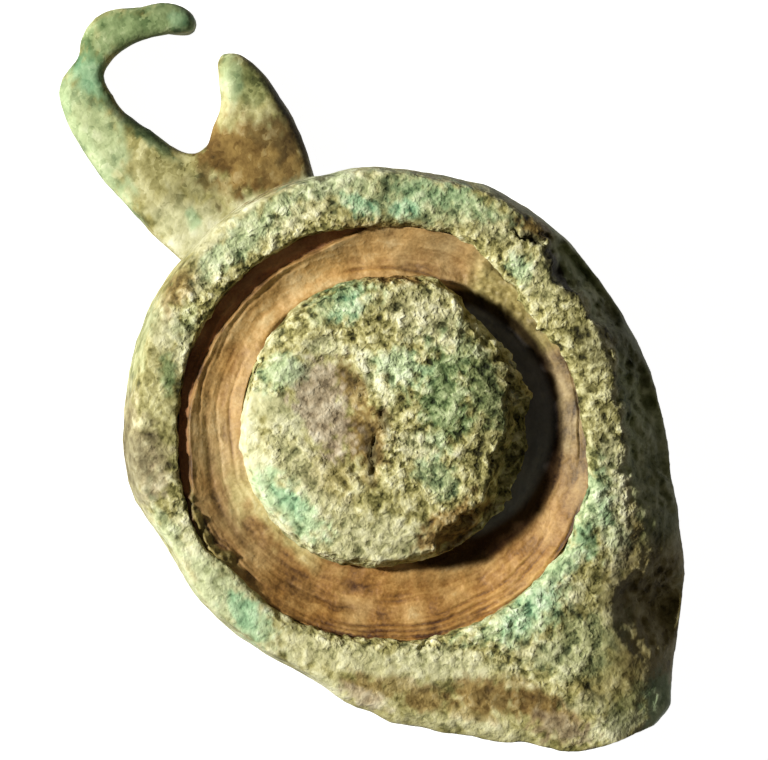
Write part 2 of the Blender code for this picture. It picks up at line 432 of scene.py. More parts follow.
@dataclass(frozen=True)
class CrustFinish:
    """Corroded bronze: a gritty crust of khaki and green copper salts with soil in its pits.

    The salts are dull and light, so the surface reads as dry stone rather than metal: nearly no gloss, pale
    grains with olive shade between them, and mint where the salts are fresh.
    """

    name: str = "corroded_bronze"
    # The salts' own grit is under 0.05 mm. It is drawn as coarse as it needs to be to show as 3 pixels
    grit_mm: float = 0.13
    pit_mm: float = 0.30
    flake_mm: float = 0.34
    scale_mm: float = 0.46
    clump_mm: float = 0.60
    crevice_mm: float = 0.78
    blotch_mm: float = 2.0
    # How far the grit bends the flakes' edges, and the clumps those of the scales and crevices
    grit_bend_mm: float = 0.22
    clump_bend_mm: float = 1.3
    # How far each pattern takes over from the ones that are mixed before it
    dome_share: float = 0.55
    grain_share: float = 0.60
    clump_share: float = 0.52
    blotch_share: float = 0.15
    calm_clump_share: float = 0.40
    scale_share: float = 0.14
    bump_mm: float = 0.26
    calm_relief: float = 0.25
    cavity_shade: float = 0.32
    roughness: float = 0.80
    ior: float = 1.50
    shine: float = 0.25
    crust: Stops = (
        (0.26, "#2E2C12"),
        (0.38, "#6B6736"),
        (0.48, "#A39C62"),
        (0.58, "#C6C08A"),
        (0.68, "#E4E0B0"),
        (0.80, "#F8F6DA"),
    )
    tones: tuple[tuple[Tone, Stops], ...] = (
        # Cream also stands for painted light: highlights on lit sides, and the shaded tip and flank made
        # paler
        (Tone.CREAM, ((0.24, "#686C42"), (0.36, "#B6B684"), (0.50, "#E2E1B6"), (0.70, "#F6F6DA"))),
        (Tone.BROWN, ((0.26, "#2A1E0A"), (0.42, "#6A5024"), (0.56, "#9A7E46"), (0.72, "#D0BC8A"))),
        (Tone.MAUVE, ((0.26, "#5E503C"), (0.42, "#A8967A"), (0.56, "#CEBFA4"), (0.72, "#EEE5D0"))),
        (Tone.OLIVE, ((0.26, "#2A2810"), (0.40, "#5C5830"), (0.54, "#928C5A"), (0.72, "#CFCB96"))),
        (Tone.GREEN, ((0.26, "#1A2C14"), (0.40, "#4A6A40"), (0.54, "#809C6C"), (0.72, "#C4D4A4"))),
        (Tone.MINT, ((0.26, "#4A6644"), (0.40, "#98B68A"), (0.54, "#C2DEB0"), (0.72, "#E8F8D8"))),
        (Tone.VERDIGRIS, ((0.26, "#42765A"), (0.40, "#82BC94"), (0.54, "#ACDAB4"), (0.72, "#DAF6DA"))),
        # Dark also stands for painted shade on the flank, in crevices and on shaded edges
        (Tone.DARK, ((0.26, "#141209"), (0.50, "#2E2A16"), (0.74, "#5A5534"))),
    )

    def make(self) -> bpy.types.Material:
        """Builds the material from the tones that the mesh's attributes place.

        Returns:
            The material.
        """
        material, tree, in_mm = start_material(self.name)
        clouds = ((self.grit_mm, 1), (self.pit_mm, 1), (self.clump_mm, 2), (self.blotch_mm, 4))
        grit, pit, clump, blotch = (
            add_node(
                tree, "TexNoise", {"Vector": in_mm, "Scale": 1 / size, "Detail": detail, "Roughness": 0.55}
            )
            for size, detail in clouds
        )
        bent, warped = (
            add_node(
                tree,
                "VectorMath",
                {0: noisy.outputs["Color"], 1: (bend, bend, bend), 2: in_mm},
                operation="MULTIPLY_ADD",
            )
            for noisy, bend in ((grit, self.grit_bend_mm), (clump, self.clump_bend_mm))
        )
        flake = add_node(tree, "TexVoronoi", {"Vector": bent, "Scale": 1 / self.flake_mm})
        scale = add_node(tree, "TexVoronoi", {"Vector": warped, "Scale": 1 / self.scale_mm})
        crevice = add_node(
            tree, "TexVoronoi", {"Vector": warped, "Scale": 1 / self.crevice_mm}, feature="DISTANCE_TO_EDGE"
        )
        domed = add_node(tree, "Math", {0: 1.0, 1: flake}, operation="SUBTRACT")
        grain = add_node(tree, "Mix", {"Factor": self.dome_share, "A": flake.outputs["Color"], "B": domed})
        fine = add_node(tree, "Mix", {"Factor": self.grain_share, "A": grit, "B": grain})
        rough = add_node(tree, "Mix", {"Factor": self.clump_share, "A": fine, "B": clump})
        speck = add_node(tree, "Mix", {"Factor": self.blotch_share, "A": rough, "B": blotch})
        # Each pattern's own range, and the change to the fleck that it becomes
        spread, pits, crevices = (
            add_node(
                tree,
                "MapRange",
                {"Value": value, "From Min": low, "From Max": high, "To Min": least, "To Max": most},
                **settings,
            )
            for value, low, high, least, most, settings in (
                (speck, 0.37, 0.63, 0.36, 0.70, {"clamp": False}),
                (pit, 0.35, 0.46, -0.06, 0.01, {"interpolation_type": "SMOOTHSTEP"}),
                (crevice, 0.0, 0.22, -0.075, 0.02, {"interpolation_type": "SMOOTHSTEP"}),
            )
        )
        sunken = add_node(tree, "Math", {0: crevices, 1: pits}, operation="ADD")
        gritty = add_node(tree, "Math", {0: spread, 1: sunken}, operation="ADD")
        cloud = add_node(tree, "Mix", {"Factor": self.calm_clump_share, "A": blotch, "B": clump})
        calm = add_node(tree, "Mix", {"Factor": self.scale_share, "A": cloud, "B": scale.outputs["Color"]})
        smooth, cavity = (
            add_node(tree, "Attribute", attribute_name=name).outputs["Fac"] for name in ("smooth", "cavity")
        )
        fleck = add_node(tree, "Mix", {"Factor": smooth, "A": gritty, "B": calm})
        deeper = add_node(tree, "Math", {0: cavity, 1: 0.5}, operation="SUBTRACT")
        shade = {0: deeper, 1: -self.cavity_shade, 2: fleck}
        shaded = add_node(tree, "Math", shade, operation="MULTIPLY_ADD")

        strength = add_node(tree, "Mix", {"Factor": smooth, "A": 1.0, "B": self.calm_relief})
        height = add_node(tree, "Math", {0: rough, 1: sunken}, operation="ADD")
        bump = {"Height": height, "Distance": self.bump_mm * MM, "Strength": strength}
        dress = {
            "Base Color": lay_tones(tree, self.crust, self.tones, shaded),
            "Normal": add_node(tree, "Bump", bump),
            "Roughness": self.roughness,
            "IOR": self.ior,
            "Specular IOR Level": self.shine,
            "Metallic": 0.0,
        }
        feed(tree, tree.nodes["Principled BSDF"], dress)
        return material


@dataclass(frozen=True)
class EnamelFinish:
    """Decayed enamel: smooth brown glassy paste, grooved by turning and wear and stained by rust and soil.
    The boss's shadow and the shade in the gap at the left are painted on it.

    It still has a little of the gloss of glass, so its ridges catch a soft light where the crust beside it
    has none.
    """

    name: str = "decayed_enamel"
    # The scratches and the grit are finer in truth. They are drawn at 7 and 3 pixels so that they show
    ring_mm: float = 0.30
    grit_mm: float = 0.14
    wave_mm: float = 0.9
    stain_mm: float = 1.5
    # How soon a scratch ends along its way round the ring: larger is sooner
    turns_over: float = 3.2
    # How far the scratches take over from the stain, and the grit from both
    ring_share: float = 0.45
    grit_share: float = 0.20
    bump_mm: float = 0.12
    lighten: float = 0.087
    groove_shade: float = 0.26
    roughness: float = 0.62
    ior: float = 1.52
    gloss: float = 0.5
    # How much gloss is taken off where the shadow and shade are painted
    gloss_lost_in_shade: float = 0.45
    grey: Stops = ((0.26, "#3E2E14"), (0.42, "#8E7850"), (0.56, "#B09A6E"), (0.72, "#D2C09A"))
    stains: tuple[tuple[Stain, Stops], ...] = (
        (Stain.WARM, ((0.26, "#4A2804"), (0.42, "#9E7032"), (0.56, "#CA9C58"), (0.72, "#E6C68A"))),
        (Stain.SOIL, ((0.26, "#5A4E22"), (0.42, "#9A8A50"), (0.56, "#C2B478"), (0.72, "#E6DCAC"))),
        (Stain.RUST, ((0.26, "#52301E"), (0.40, "#84522F"), (0.52, "#A87044"), (0.72, "#C49662"))),
        # Painted shade: near black for the fringe of the boss's shadow and the gap at the left
        (Stain.SHADE, ((0.26, "#120806"), (0.56, "#22100C"), (0.72, "#40261A"))),
        # Painted shadow: a mid grey for the core of the boss's shadow, where only the dim sky lights it
        (Stain.SOOT, ((0.26, "#5C5C5E"), (0.60, "#727276"), (0.80, "#808084"))),
    )

    def make(self) -> bpy.types.Material:
        """Builds the material, with faint lines that run round the cell's centre.

        Returns:
            The material.
        """
        material, tree, in_mm = start_material(self.name)
        axes = add_node(tree, "SeparateXYZ", {0: in_mm})
        flat = add_node(tree, "CombineXYZ", {"X": axes.outputs["X"], "Y": axes.outputs["Y"]})
        radius = add_node(tree, "VectorMath", {0: flat}, operation="LENGTH").outputs["Value"]
        outward = add_node(tree, "VectorMath", {0: flat}, operation="NORMALIZE")
        stain = add_node(
            tree, "TexNoise", {"Vector": in_mm, "Scale": 1 / self.stain_mm, "Detail": 4, "Roughness": 0.55}
        )
        grit = add_node(tree, "TexNoise", {"Vector": in_mm, "Scale": 1 / self.grit_mm, "Detail": 2})
        wavy = add_node(tree, "Math", {0: stain, 1: self.wave_mm, 2: radius}, operation="MULTIPLY_ADD")
        across = add_node(tree, "Math", {0: wavy, 1: self.ring_mm}, operation="DIVIDE")
        way = add_node(tree, "SeparateXYZ", {0: outward})
        along_x, along_y = (
            add_node(tree, "Math", {0: way.outputs[axis], 1: self.turns_over}, operation="MULTIPLY")
            for axis in "XY"
        )
        on_ring = add_node(tree, "CombineXYZ", {"X": across, "Y": along_x, "Z": along_y})
        rings = add_node(tree, "TexNoise", {"Vector": on_ring, "Scale": 1, "Detail": 2})
        ringed = add_node(tree, "Mix", {"Factor": self.ring_share, "A": stain, "B": rings})
        fleck = add_node(tree, "Mix", {"Factor": self.grit_share, "A": ringed, "B": grit})
        lighter = add_node(tree, "Math", {0: fleck, 1: self.lighten}, operation="ADD")
        groove, shade, soot = (
            add_node(tree, "Attribute", attribute_name=name).outputs["Fac"]
            for name in ("groove", Stain.SHADE.value, Stain.SOOT.value)
        )
        darken = {0: groove, 1: -self.groove_shade, 2: lighter}
        shaded = add_node(tree, "Math", darken, operation="MULTIPLY_ADD")
        # Where the boss's shadow and the gap's shade are painted, the gloss is taken off too, so that they
        # read darker
        matte = add_node(tree, "Math", {0: shade, 1: soot}, operation="MAXIMUM")
        dress = {
            "Base Color": lay_tones(tree, self.grey, self.stains, shaded),
            "Normal": add_node(tree, "Bump", {"Height": fleck, "Distance": self.bump_mm * MM}),
            "Roughness": add_node(tree, "Mix", {"Factor": matte, "A": self.roughness, "B": 1.0}),
            "Specular IOR Level": add_node(
                tree, "Math", {0: matte, 1: -self.gloss_lost_in_shade, 2: self.gloss}, operation="MULTIPLY_ADD"
            ),
            "IOR": self.ior,
        }
        feed(tree, tree.nodes["Principled BSDF"], dress)
        return material


@dataclass(frozen=True)
class Patch:
    """A patch on the surface, placed where the photograph shows it.

    Args:
        across, down: its middle in the photograph, in pixels.
        long, wide: half its length and width, in pixels.
        slope: how its length runs in the photograph, in degrees clockwise from straight right.
        share: how strong it is, from 0 to 1.
        soft: the share of its size over which it fades.
    """

    across: float
    down: float
    long: float
    wide: float
    slope: float
    share: float
    soft: float = 0.7

    def cover(self, spots: np.ndarray, ragged: np.ndarray | float = 0.0) -> np.ndarray:
        """How much of the patch lies on each spot.

        Args:
            spots: rows of pixels across and down.
            ragged: how far the patch's edge wanders at each spot, as a share of its size.

        Returns:
            Its strength at each spot.
        """
        turn = math.radians(self.slope)
        dx, dy = spots[:, 0] - self.across, spots[:, 1] - self.down
        along = (dx * math.cos(turn) + dy * math.sin(turn)) / self.long
        aside = (dy * math.cos(turn) - dx * math.sin(turn)) / self.wide
        away = np.hypot(along, aside) + ragged
        return self.share * smooth_step(1.0 + self.soft / 2, 1.0 - self.soft / 2, away)


@dataclass(frozen=True)
class Crack:
    """A crack in the crust: a line of pixels in the photograph, with its width and depth in millimetres."""

    line: Table
    width: float
    depth: float


# Where each tone lies, as rows of a Patch's values: the rim from its upper left round by the top and the tip
# to the lower left, then the boss, then the loop
PATCHES = {
    tone: tuple(Patch(*row) for row in rows)
    for tone, rows in {
        # Cream patches that are painted light: the boss's lit left shoulder (250, 445) and (268, 405), the
        # lit wall of the hollow (374, 378), a highlight on the loop (228, 88), and the shaded tip and flank
        # made paler (612, 728), (585, 705), (662, 700), (658, 448), (614, 508)
        Tone.CREAM: (
            (235, 240, 60, 20, -45, 0.2), (322, 182, 44, 14, -14, 1), (276, 224, 44, 15, -35, 0.5),
            (398, 177, 70, 7, 4, 0.3), (494, 228, 22, 12, 20, 0.4), (540, 280, 30, 18, 60, 0.25),
            (612, 728, 40, 13, -12, 0.9), (585, 705, 26, 12, 0, 0.5), (506, 199, 32, 6, 28, 0.7),
            (535, 652, 30, 12, 10, 0.4), (440, 664, 60, 15, 4, 0.7), (614, 508, 66, 16, 86, 1),
            (658, 448, 40, 9, 84, 0.9), (662, 700, 34, 13, 96, 0.8), (340, 655, 90, 16, 14, 0.4),
            (320, 682, 30, 8, 26, 0.7), (480, 728, 76, 9, 10, 0.3), (566, 590, 18, 14, 0, 0.7),
            (215, 585, 120, 30, 52, 0.75), (184, 350, 28, 9, 104, 0.7), (166, 324, 24, 18, 80, 0.7),
            (206, 278, 20, 12, -50, 0.5), (430, 322, 44, 22, 25, 0.4), (262, 345, 26, 10, -35, 0.7),
            (268, 405, 24, 14, 20, 0.6), (250, 445, 52, 14, 80, 0.85, 0.4), (280, 520, 46, 8, 42, 0.8),
            (296, 505, 60, 34, 45, 0.6), (370, 540, 70, 22, 0, 0.5), (320, 346, 24, 9, 0, 0.8),
            (516, 364, 12, 8, 66, 1), (500, 343, 10, 7, 52, 1), (484, 329, 9, 6, 45, 1),
            (374, 378, 28, 9, 60, 1), (396, 372, 20, 12, 0, 0.8), (300, 374, 20, 12, 0, 1),
            (292, 424, 16, 16, 0, 0.8), (420, 446, 22, 14, 0, 0.7), (296, 470, 44, 24, 60, 0.5),
            (228, 88, 10, 7, 90, 0.6), (206, 182, 20, 12, 0, 0.4), (250, 206, 16, 12, -35, 0.8),
            (194, 228, 44, 26, 40, 0.8),
        ),
        Tone.BROWN: (
            (180, 290, 26, 12, -62, 0.75), (392, 226, 52, 5, 2, 0.7), (530, 226, 24, 8, 25, 0.8),
            (614, 600, 40, 14, 88, 0.4), (640, 620, 70, 26, 92, 0.7), (652, 590, 150, 34, 94, 0.6),
            (534, 228, 20, 8, 25, 0.8), (492, 697, 42, 16, 8, 0.9), (532, 702, 36, 18, 20, 1),
            (516, 684, 26, 10, 10, 0.6), (368, 686, 24, 12, 20, 0.75), (426, 700, 24, 12, 0, 0.8),
            (560, 724, 36, 20, 10, 0.9), (590, 690, 26, 14, 10, 0.25), (468, 712, 34, 8, 10, 0.6),
            (396, 684, 20, 10, 10, 0.6), (353, 390, 28, 13, 66, 0.85), (366, 434, 36, 22, 70, 0.9),
            (330, 475, 30, 20, 30, 0.3), (374, 464, 24, 12, 96, 0.5), (456, 524, 40, 22, -35, 0.95),
            (396, 276, 26, 9, 0, 1), (256, 155, 62, 42, 6, 1, 0.35), (278, 176, 34, 16, -20, 1),
        ),
        Tone.MAUVE: (
            (562, 728, 34, 15, 10, 0.4), (368, 698, 26, 8, 25, 0.6), (148, 466, 42, 20, 80, 0.7),
            (130, 440, 60, 12, 86, 0.6), (321, 404, 46, 27, 65, 0.9, 0.4),
        ),
        Tone.OLIVE: (
            (416, 205, 96, 23, 6, 0.75), (468, 228, 24, 8, 12, 0.7), (590, 380, 110, 24, 82, 0.65),
            (588, 350, 50, 14, 70, 0.8), (514, 252, 18, 12, 40, 0.6), (652, 600, 130, 30, 94, 0.4),
            (582, 272, 24, 12, 50, 0.8), (606, 626, 66, 24, 80, 0.5), (584, 630, 30, 26, -30, 0.3),
            (566, 662, 30, 18, 0, 0.65), (492, 614, 20, 8, -20, 0.6), (140, 400, 130, 20, 92, 0.45),
            (168, 412, 64, 22, 92, 0.6), (204, 252, 30, 12, -50, 0.5), (374, 298, 32, 16, 0, 0.5),
            (302, 300, 40, 8, -43, 0.9), (322, 326, 26, 14, -30, 0.5), (492, 410, 66, 20, 88, 0.6),
            (244, 108, 28, 14, 30, 0.4), (165, 180, 56, 26, 20, 0.6),
        ),
        Tone.GREEN: (
            (187, 318, 22, 10, -60, 0.3), (168, 376, 18, 8, 90, 0.6), (440, 195, 44, 14, 8, 0.8),
            (468, 204, 28, 14, 20, 0.5), (640, 706, 34, 20, -40, 0.3), (598, 480, 34, 10, 80, 0.2),
            (590, 546, 18, 9, 60, 0.9), (607, 514, 12, 7, 60, 0.8), (352, 292, 26, 8, 0, 0.7),
            (442, 395, 52, 26, 85, 0.75), (480, 380, 50, 18, 70, 0.5), (140, 26, 74, 26, -15, 0.8),
            (84, 36, 18, 16, 0, 0.6), (84, 84, 20, 16, 60, 0.4), (92, 72, 28, 20, 60, 1),
            (64, 96, 20, 8, 80, 0.4), (100, 95, 16, 9, 50, 0.5), (148, 134, 34, 9, 38, 0.9),
            (250, 86, 24, 18, 60, 0.35), (180, 22, 24, 14, 0, 0.5),
        ),
        # Mint patches that are painted light: the shaded tip (660, 706) and the plateau's shaded edge (613,
        # 536) made paler
        Tone.MINT: (
            (252, 230, 62, 15, -42, 0.45), (322, 184, 36, 12, -14, 0.35), (193, 221, 12, 7, 70, 0.7),
            (425, 200, 90, 22, 8, 0.3), (518, 266, 16, 13, 70, 0.65), (532, 606, 44, 20, -45, 0.7),
            (613, 536, 14, 12, 0, 0.3), (660, 706, 32, 15, 96, 0.6), (592, 505, 34, 18, -75, 0.6),
            (556, 572, 54, 17, -50, 0.75), (505, 628, 40, 14, -15, 0.5), (526, 628, 30, 14, -25, 0.6),
            (574, 652, 50, 26, -30, 0.2), (215, 590, 50, 16, 52, 0.3), (250, 620, 30, 16, 45, 0.8),
            (168, 530, 34, 10, 65, 0.3), (138, 340, 60, 9, 104, 0.2), (345, 305, 30, 16, -10, 0.35),
            (282, 372, 24, 16, -10, 0.6), (292, 505, 44, 17, 45, 0.8), (402, 370, 28, 18, 10, 0.6),
            (440, 480, 26, 16, 50, 0.45), (66, 92, 14, 12, 60, 0.5), (92, 130, 62, 24, 60, 0.5),
            (230, 80, 26, 11, 90, 0.4), (86, 156, 90, 16, 60, 0.6),
        ),
        Tone.VERDIGRIS: (
            (362, 206, 18, 9, 20, 0.5), (405, 208, 16, 8, 0, 0.5), (532, 608, 34, 12, -45, 0.4),
            (246, 614, 18, 12, 60, 0.4), (348, 308, 18, 12, -40, 0.4), (290, 500, 20, 9, 45, 0.4),
            (186, 23, 16, 9, 0, 0.3), (88, 72, 20, 10, 60, 0.35),
        ),
        # Dark patches that are painted shade: the broken flank (592, 347), (624, 338), (622, 596), (632,
        # 640), (658, 570); the crevices outside the plateau (532, 238), (557, 268); the cracks (385, 424),
        # (352, 378), (372, 438), (372, 460); the boss's shaded right side (498, 395); and the loop's shaded
        # edges (294, 128), (143, 132). The rest are dark patina
        Tone.DARK: (
            (592, 347, 32, 10, 62, 0.4), (622, 596, 40, 14, 88, 0.4), (632, 640, 50, 20, 75, 0.3),
            (624, 338, 44, 12, 60, 0.6), (532, 238, 18, 6, 20, 0.9), (557, 268, 26, 7, 62, 1),
            (658, 570, 96, 22, 92, 0.3, 1), (530, 698, 30, 14, 20, 0.25), (505, 700, 26, 8, 8, 0.25),
            (560, 730, 26, 12, 10, 0.3), (540, 590, 22, 7, -45, 0.15), (134, 466, 34, 12, 84, 0.35),
            (385, 424, 14, 4, 75, 0.7), (352, 378, 26, 7, 68, 0.35), (372, 438, 26, 10, 75, 0.35),
            (372, 460, 20, 5, 96, 0.8), (484, 518, 30, 14, -50, 0.1), (498, 395, 46, 14, 80, 0.3),
            (190, 20, 12, 16, 40, 0.15), (154, 12, 24, 8, 0, 0.2), (274, 134, 32, 16, 20, 0.45),
            (284, 170, 24, 14, -20, 0.25), (294, 128, 62, 9, 62, 0.7), (280, 134, 30, 18, 60, 0.55),
            (143, 132, 42, 6, 38, 0.6),
        ),
    }.items()
}

# Where the crust is worn smooth, apart from the loop and the underside, as rows of a Patch's values
CALM = tuple(
    Patch(*row)
    for row in (
        (150, 400, 190, 30, 92, 0.55), (228, 228, 100, 20, -42, 0.4), (240, 622, 160, 40, 40, 0.65),
        (440, 700, 170, 44, 10, 0.65), (640, 690, 50, 80, 0, 0.7), (420, 200, 120, 30, 4, 0.25),
        (326, 410, 72, 46, 62, 0.55), (266, 408, 26, 18, 10, 0.7), (260, 470, 100, 20, 65, 0.5),
        (340, 510, 130, 50, 20, 0.35), (580, 600, 110, 46, -62, 0.25), (615, 640, 90, 30, 80, 0.25),
    )
)
CRACKS = (
    Crack(((383, 416), (380, 430), (373, 442), (370, 456), (373, 474)), 0.24, 0.34),
    Crack(((356, 374), (360, 392), (366, 402)), 0.10, 0.22),
    Crack(((253, 348), (256, 360), (254, 376)), 0.10, 0.35),
    Crack(((256, 386), (268, 392), (292, 393)), 0.08, 0.12),
    Crack(((516, 232), (526, 239), (544, 240)), 0.20, 0.50),
    Crack(((420, 646), (427, 640)), 0.16, 0.40),
)
# The lit plateau of the rim, in pixels: its jagged right edge down to the tip, then round the head's left
PLATEAU = (
    (470, 150), (498, 190), (518, 204), (538, 220), (546, 236), (547, 251), (548, 274), (554, 285),
    (565, 287), (577, 298), (583, 305), (586, 321), (595, 328), (607, 337), (611, 350), (611, 376),
    (611, 400), (616, 419), (618, 437), (619, 451), (616, 472), (624, 493), (632, 514), (636, 528),
    (631, 545), (618, 560), (601, 573), (594, 594), (595, 609), (598, 630), (606, 651), (614, 670),
    (628, 690), (644, 712), (664, 780), (0, 780), (0, 150),
)
# How steeply the flank falls away outside the plateau: (pixels down the photograph, fall for each unit out)
PLATEAU_FALL = (
    (180, 0.7), (215, 1.2), (232, 2.6), (300, 2.6), (340, 2.0), (420, 1.6), (500, 1.5), (560, 1.3),
    (620, 1.2), (670, 0.9), (700, 0.65), (740, 0.55),
)
# How far the flank takes to reach that steepness: (pixels down the photograph, millimetres)
PLATEAU_SHOULDER = ((300, 0.0), (420, 0.1), (520, 0.3), (570, 0.7), (640, 0.9), (670, 1.1), (740, 1.4))
# The top of the boss that still stands, in pixels, with its right and lower right edge broken away
BOSS_TOP = (
    (395, 260), (418, 268), (442, 275), (461, 293), (470, 314), (488, 335), (500, 350), (508, 372),
    (506, 395), (505, 420), (500, 440), (493, 456), (489, 477), (486, 496), (474, 508), (462, 514),
    (438, 530), (428, 545), (436, 560), (395, 585), (300, 570), (225, 480), (225, 380), (280, 290),
    (330, 262),
)
# The floor of the hollow in the boss, in pixels, and its depth: (pixels across the photograph, millimetres)
HOLLOW = (
    (303, 356), (325, 349), (347, 351), (357, 372), (361, 392), (371, 404), (384, 420), (381, 440),
    (373, 458), (376, 474), (362, 484), (330, 470), (300, 452), (286, 425), (290, 385),
)
HOLLOW_DEPTH = ((290, 0.05), (378, 0.36))
# How the head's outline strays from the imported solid's: (angle round the head, millimetres)
OUTLINE_SHIFT = (
    (0, 0.0), (20, 0.10), (28, 0.0), (38, -0.07), (50, 0.0), (60, -0.06), (66, 0.03), (72, -0.05),
    (85, 0.04), (95, 0.04), (102, -0.07), (110, 0.0), (155, 0.0), (167, -0.08), (180, 0.08), (188, 0.02),
    (195, 0.07), (206, -0.08), (215, -0.12), (222, 0.0), (262, 0.0), (267, -0.08), (271, 0.09),
    (277, -0.09), (286, -0.08), (291, 0.0), (295, -0.12), (300, 0.0), (305, -0.08), (310, 0.0),
    (315, 0.12), (325, 0.04), (335, 0.04), (342, -0.08), (346, 0.0), (350, -0.07),
)
# How much further out the face is carried before it drops to the outline: (angle round the head, share)
EDGE_LIFT = ((0, 0.0), (248, 0.0), (262, 0.6), (290, 0.8), (307, 0.95), (312, 0.55), (320, 0.15), (326, 0.0))
# How far the cell's wall lies outside its circle: (angle round the ring, millimetres)
WALL_SHIFT = (
    (0, -0.02), (62, 0.0), (70, 0.16), (80, 0.08), (92, 0.05), (100, 0.10), (110, 0.28), (140, 0.26),
    (160, 0.18), (170, 0.02), (178, 0.0), (190, 0.06), (203, 0.20), (209, 0.24), (213, 0.30), (217, 0.04),
    (224, -0.02), (272, -0.04), (276, 0.08), (300, 0.20), (330, 0.24), (345, 0.18), (352, 0.05),
)
# How far crumbled crust leans in over the enamel's edge: (angle round the ring, millimetres)
LIP_SPILL = (
    (0, 0.42), (5, 0.50), (14, 0.48), (25, 0.62), (34, 1.0), (42, 0.95), (52, 0.55), (60, 0.22),
    (66, 0.0), (215, 0.0), (221, 0.12), (232, 0.12), (240, 0.0), (347, 0.0), (354, 0.2),
)
# How far the boss's edge lies outside its circle: (angle round the boss, millimetres)
BOSS_SHIFT = (
    (0, 0.12), (15, 0.22), (30, 0.0), (42, -0.22), (52, -0.20), (58, 0.30), (70, 0.42), (85, 0.25),
    (100, 0.18), (125, 0.0), (165, -0.12), (190, 0.05), (230, 0.18), (260, 0.05), (285, -0.05),
    (330, 0.0),
)
# The middle of the loop's eye, in pixels, and how much wider the eye is worn: (angle round it, millimetres)
EYE = (150, 95)
EYE_SHIFT = (
    (48, 0.0), (60, 0.27), (110, 0.27), (140, 0.20), (160, 0.26), (173, 0.08), (180, 0.0), (272, 0.0),
    (283, 0.20), (292, 0.30), (300, 0.20), (310, 0.0),
)


